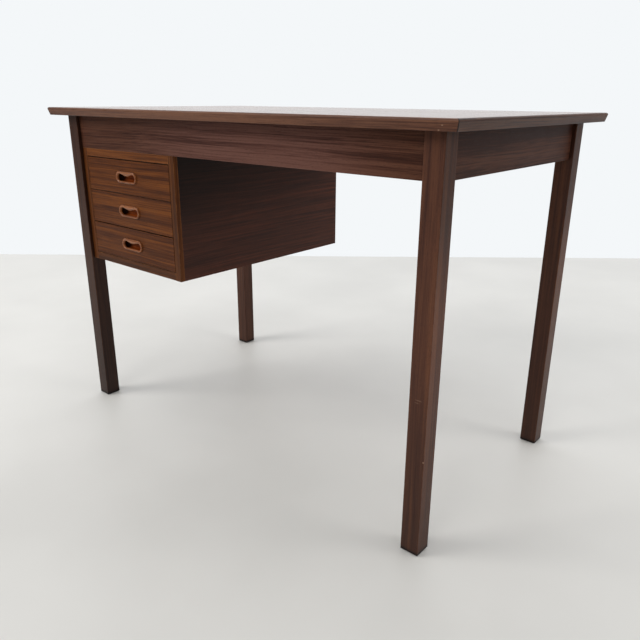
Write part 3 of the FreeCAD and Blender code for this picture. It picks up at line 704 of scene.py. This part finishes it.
# ---------------------------------------------------------------- the CAD parts

# Kinds of piece whose edges are broken, and how widely, in mm.
ROUNDED = {
    "drawer_side": 0.6,
    "drawer_back": 0.6,
    "runner_": 0.6,
    "top_block": 0.8,
    "apron_front": 0.3,
    "apron_right": 0.3,
    "apron_back": 0.3,
    "apron_left": 0.3,
    "unit_side": 0.25,
    "unit_top": 0.25,
    "unit_bottom": 0.25,
    "unit_back": 0.3,
}
WELD_REACH = 0.002
BEVEL_ANGLE = 40
SEED_STEP = 1.37


def round_edges(part, width):
    """Breaks a CAD part's sharp edges without touching its mesh."""
    weld = part.modifiers.new("weld", "WELD")
    weld.merge_threshold = WELD_REACH * MM
    bevel = part.modifiers.new("edges", "BEVEL")
    bevel.width = width * MM
    bevel.segments = 2
    bevel.limit_method = "ANGLE"
    bevel.angle_limit = math.radians(BEVEL_ANGLE)
    part.modifiers.new("shading", "WEIGHTED_NORMAL")


def dress_parts():
    """A material of its own for every CAD part, and broken edges for the plain boards."""
    slots = {part["node"]: part["material_slot"] for part in frame["record"]["subparts"]}
    for seed, (name, part) in enumerate(sorted(frame["nodes"].items())):
        low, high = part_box(name)
        if slots[name] == "steel":
            material = make_steel(f"{name}_steel", seed)
        else:
            material = make_wood(name, slots[name], low, high, seed * SEED_STEP)
        part.data.materials.clear()
        part.data.materials.append(material)
        for piece, width in ROUNDED.items():
            if piece in name and "screws" not in name:
                round_edges(part, width)


# ---------------------------------------------------------------- studio

# The camera: place in metres, turns in radians, lens in mm.
CAMERA_PLACE = (0.9526, -1.0673, 0.7542)
CAMERA_YAW = 0.7038
CAMERA_PITCH = -0.3386
CAMERA_ROLL = 0.0066
CAMERA_LENS = 35.49
CAMERA_SENSOR = 36.0
CAMERA_NEAR = 0.01

# The floor: how far it reaches, in metres, its noises, and the painted shade that darkens it toward the
# camera.
FLOOR_BEHIND = 1.68
FLOOR_AHEAD = 5.0
FLOOR_SIDE = 6.0
FLOOR_TINT_SIZE, FLOOR_TINT_SEED = 0.4, 3.0
FLOOR_COLOURS = [(0.3, from_srgb(220, 219, 215)), (0.7, from_srgb(228, 227, 223))]
FLOOR_GRIT_SIZE, FLOOR_GRIT_SEED = 0.002, 5.0
FLOOR_ROUGH, FLOOR_ROUGHER = 0.42, 0.1
FLOOR_BUMP = 0.02 * MM
DIM_START, DIM_END, DIM_SHADE = -1.0, 0.2, 0.84


def add_camera():
    """The camera that sees the desk from its right front corner."""
    camera = bpy.data.objects.new("camera", bpy.data.cameras.new("camera"))
    camera.data.lens = CAMERA_LENS
    camera.data.sensor_width = CAMERA_SENSOR
    camera.data.clip_start = CAMERA_NEAR
    turn = Matrix.Rotation(CAMERA_YAW, 4, "Z") @ Matrix.Rotation(math.pi / 2 + CAMERA_PITCH, 4, "X")
    turn = turn @ Matrix.Rotation(CAMERA_ROLL, 4, "Z")
    camera.matrix_world = Matrix.Translation(CAMERA_PLACE) @ turn
    bpy.context.scene.collection.objects.link(camera)
    bpy.context.scene.camera = camera


def view_directions():
    """Level directions: the way the camera looks, and the way to its right."""
    ahead = Vector((-math.sin(CAMERA_YAW), math.cos(CAMERA_YAW), 0))
    return ahead, Vector((ahead.y, -ahead.x, 0))


def add_floor():
    """A pale floor that ends behind the desk, square to the view, with painted shade toward the camera."""
    ahead, right = view_directions()
    corners = [
        ahead * FLOOR_BEHIND - right * FLOOR_SIDE,
        ahead * FLOOR_BEHIND + right * FLOOR_SIDE,
        -ahead * FLOOR_AHEAD + right * FLOOR_SIDE,
        -ahead * FLOOR_AHEAD - right * FLOOR_SIDE,
    ]
    data = bpy.data.meshes.new("floor")
    data.from_pydata(corners, [], [(3, 2, 1, 0)])
    floor = bpy.data.objects.new("floor", data)
    bpy.context.scene.collection.objects.link(floor)
    material, tree, shader = new_material("floor")
    place = object_place(tree)
    tint = noise(tree, place, FLOOR_TINT_SIZE, FLOOR_TINT_SEED, 3.0).outputs["Fac"]
    colour = ramp(tree, tint, FLOOR_COLOURS)
    # Painted shade: the floor darkens toward the camera.
    way = add(tree, "VectorMath", {0: place, 1: tuple(ahead)}, operation="DOT_PRODUCT")
    shade = rise(tree, way.outputs["Value"], DIM_START, DIM_END, DIM_SHADE, 1.0)
    colour = blend_colours(tree, 1.0, colour, shade, "MULTIPLY")
    grit = noise(tree, place, FLOOR_GRIT_SIZE, FLOOR_GRIT_SEED, 2.0).outputs["Fac"]
    rough = calculate(tree, "MULTIPLY_ADD", grit, FLOOR_ROUGHER, FLOOR_ROUGH)
    connect(tree, shader, colour, rough, grit, FLOOR_BUMP)
    data.materials.append(material)


# The world's light by direction, the heights and facings it changes between, and what the camera sees.
SKY_BEHIND = (1.1, 1.12, 1.15)
SKY_ABOVE = (0.98, 0.99, 1.0)
SKY_LEVEL = (0.06, 0.061, 0.065)
SKY_SEEN = from_srgb(244, 247, 249)
SKY_RISE = (0.3, 0.95)
SKY_FACING = (0.3, 0.85)


def add_world():
    """Soft light: bright behind the desk, dim and mostly from above elsewhere, pale to the camera."""
    world = bpy.data.worlds.new("studio")
    bpy.context.scene.world = world
    world.use_nodes = True
    tree = world.node_tree
    tree.nodes.clear()
    ahead, _ = view_directions()
    direction = add(tree, "TexCoord").outputs["Generated"]
    facing = add(tree, "VectorMath", {0: direction, 1: tuple(ahead)}, operation="DOT_PRODUCT")
    share = rise(tree, facing.outputs["Value"], *SKY_FACING)
    above = rise(tree, part_of(tree, direction, "Z"), *SKY_RISE)
    front = blend_colours(tree, above, SKY_LEVEL, SKY_ABOVE)
    light = blend_colours(tree, share, front, SKY_BEHIND)
    seen = add(tree, "LightPath").outputs["Is Camera Ray"]
    colour = blend_colours(tree, seen, light, SKY_SEEN)
    background = add(tree, "Background", {"Color": colour, "Strength": 1.0})
    add(tree, "OutputWorld", {"Surface": background.outputs["Background"]})


DESK_MIDDLE = (cad_low + cad_high) / 2

# Name, place, what it faces, size, power in watts, colour.
LIGHTS = [
    ("key", (-3.0, -3.6, 3.2), DESK_MIDDLE, (2.2, 2.2), 112, (1.0, 0.98, 0.95)),
    ("front", (0.9, -3.9, 2.6), DESK_MIDDLE, (1.4, 1.4), 22, (1.0, 0.96, 0.92)),
    ("right", (3.3, 1.2, 1.75), DESK_MIDDLE, (1.6, 1.4), 29, (1.0, 0.98, 0.96)),
    ("ceiling", (0.3, 0.8, 3.4), (0.3, 0.5, 0.0), (4.0, 4.0), 12, (1.0, 0.99, 0.97)),
]


def add_lights():
    """Soft rectangular lamps that the camera doesn't see."""
    for name, place, target, size, power, colour in LIGHTS:
        data = bpy.data.lights.new(name, "AREA")
        data.shape = "RECTANGLE"
        data.size, data.size_y = size
        data.energy = power
        data.color = colour
        light = bpy.data.objects.new(name, data)
        light.location = place
        light.rotation_mode = "QUATERNION"
        light.rotation_quaternion = (Vector(target) - Vector(place)).to_track_quat("-Z", "Y")
        light.visible_camera = False
        bpy.context.scene.collection.objects.link(light)


dress_parts()
add_pulls()
add_camera()
add_floor()
add_world()
add_lights()
bpy.context.scene.view_settings.view_transform = "Standard"
